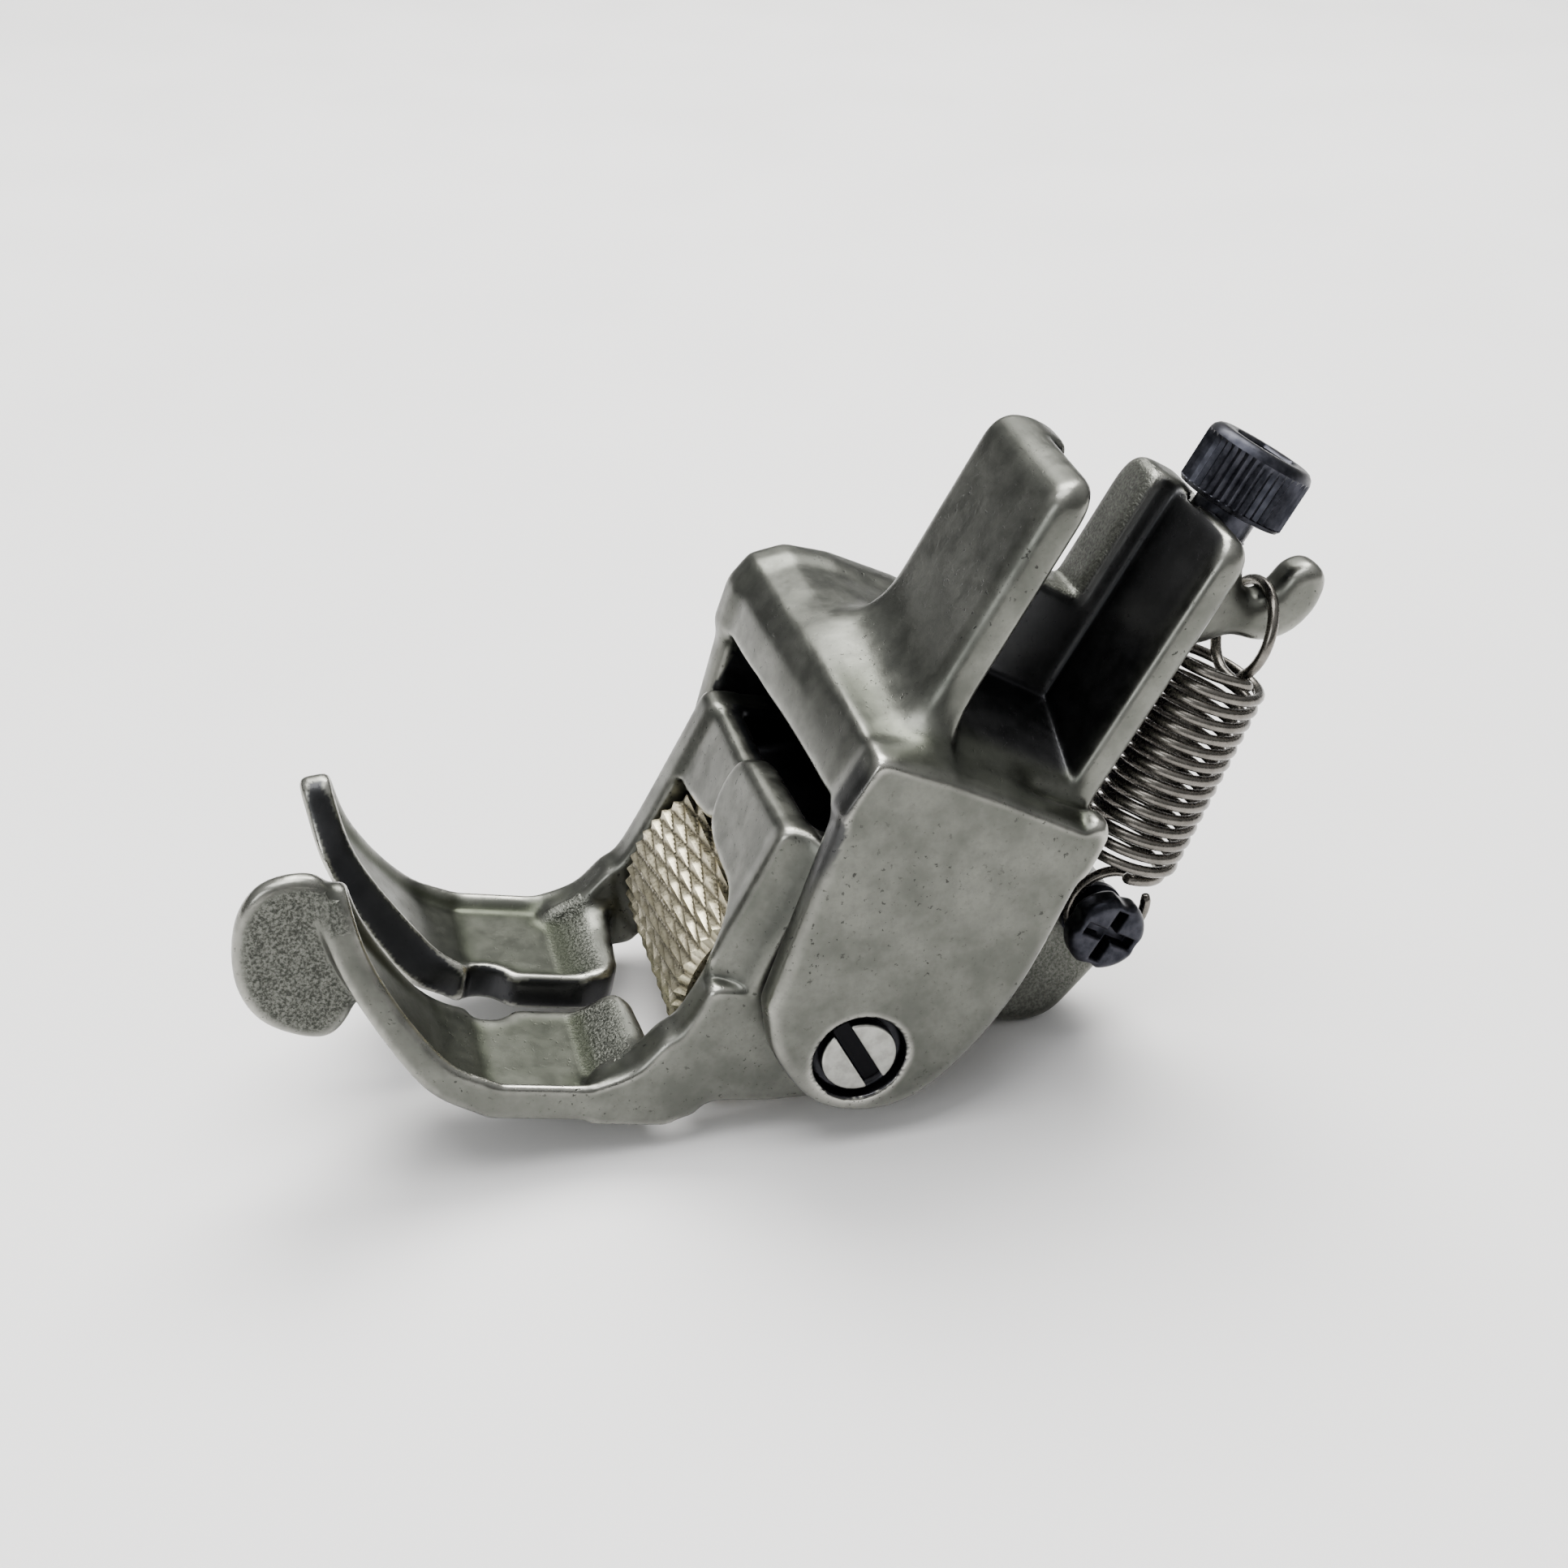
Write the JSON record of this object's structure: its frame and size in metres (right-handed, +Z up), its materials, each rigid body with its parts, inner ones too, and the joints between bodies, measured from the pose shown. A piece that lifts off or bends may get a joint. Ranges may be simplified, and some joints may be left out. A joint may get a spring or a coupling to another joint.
{
  "type": "roller presser foot",
  "caption": "Sprung, hinged roller presser foot: U-channel shank with two cheeks, tilting two-toed sole, knurled roller, outside spring and stop screw.",
  "frame": {"origin": "centre of the bounding box in X and Y, at its lowest point", "axes": "+X to the open side of the shank channel, -Y to the toes, +Z up as the foot lies on a table"},
  "size_m": [0.023, 0.0554, 0.0337],
  "materials": {
    "cast_steel": "tumbled and part-polished casting",
    "turned_steel": "turned",
    "screw_steel": "ground",
    "black_oxide": "black oxide, lightly oiled",
    "spring_steel": "drawn wire",
    "roller_steel": "diamond knurl",
    "bush_bronze": "plain"
  },
  "bodies": {
    "shank": {"shank_body": "cast_steel", "hook_post": "turned_steel", "hinge_screw_near": "screw_steel", "hinge_screw_far": "screw_steel", "tension_spring": "spring_steel"},
    "adjuster": {"stop_screw": "black_oxide"},
    "sole": {"sole": "cast_steel", "roller_axle": "screw_steel", "axle_shim_near": "screw_steel", "axle_shim_far": "screw_steel", "axle_screw_near": "black_oxide", "axle_screw_far": "black_oxide", "anchor_screw": "black_oxide", "anchor_collar": "black_oxide"},
    "roller": {"roller": "roller_steel", "roller_bush_near": "bush_bronze", "roller_bush_far": "bush_bronze"}
  },
  "joints": [
    {"name": "sole_hinge", "type": "hinge", "parent": "shank", "child": "sole", "pos_m": [0, 0.00178, 0.0054], "axis": [-1, 0, 0], "range_deg": [0, 25], "stiffness_Nm_per_rad": 0.25, "springref_deg": -20.05, "deforming": ["tension_spring"]},
    {"name": "roller_spin", "type": "hinge", "parent": "sole", "child": "roller", "pos_m": [0, -0.00075, 0.00605], "axis": [1, 0, 0], "continuous": true},
    {"name": "stop_adjust", "type": "slide", "parent": "shank", "child": "adjuster", "axis": [0, 0.5075, 0.8616], "range_m": [0, 0.002]}
  ]
}
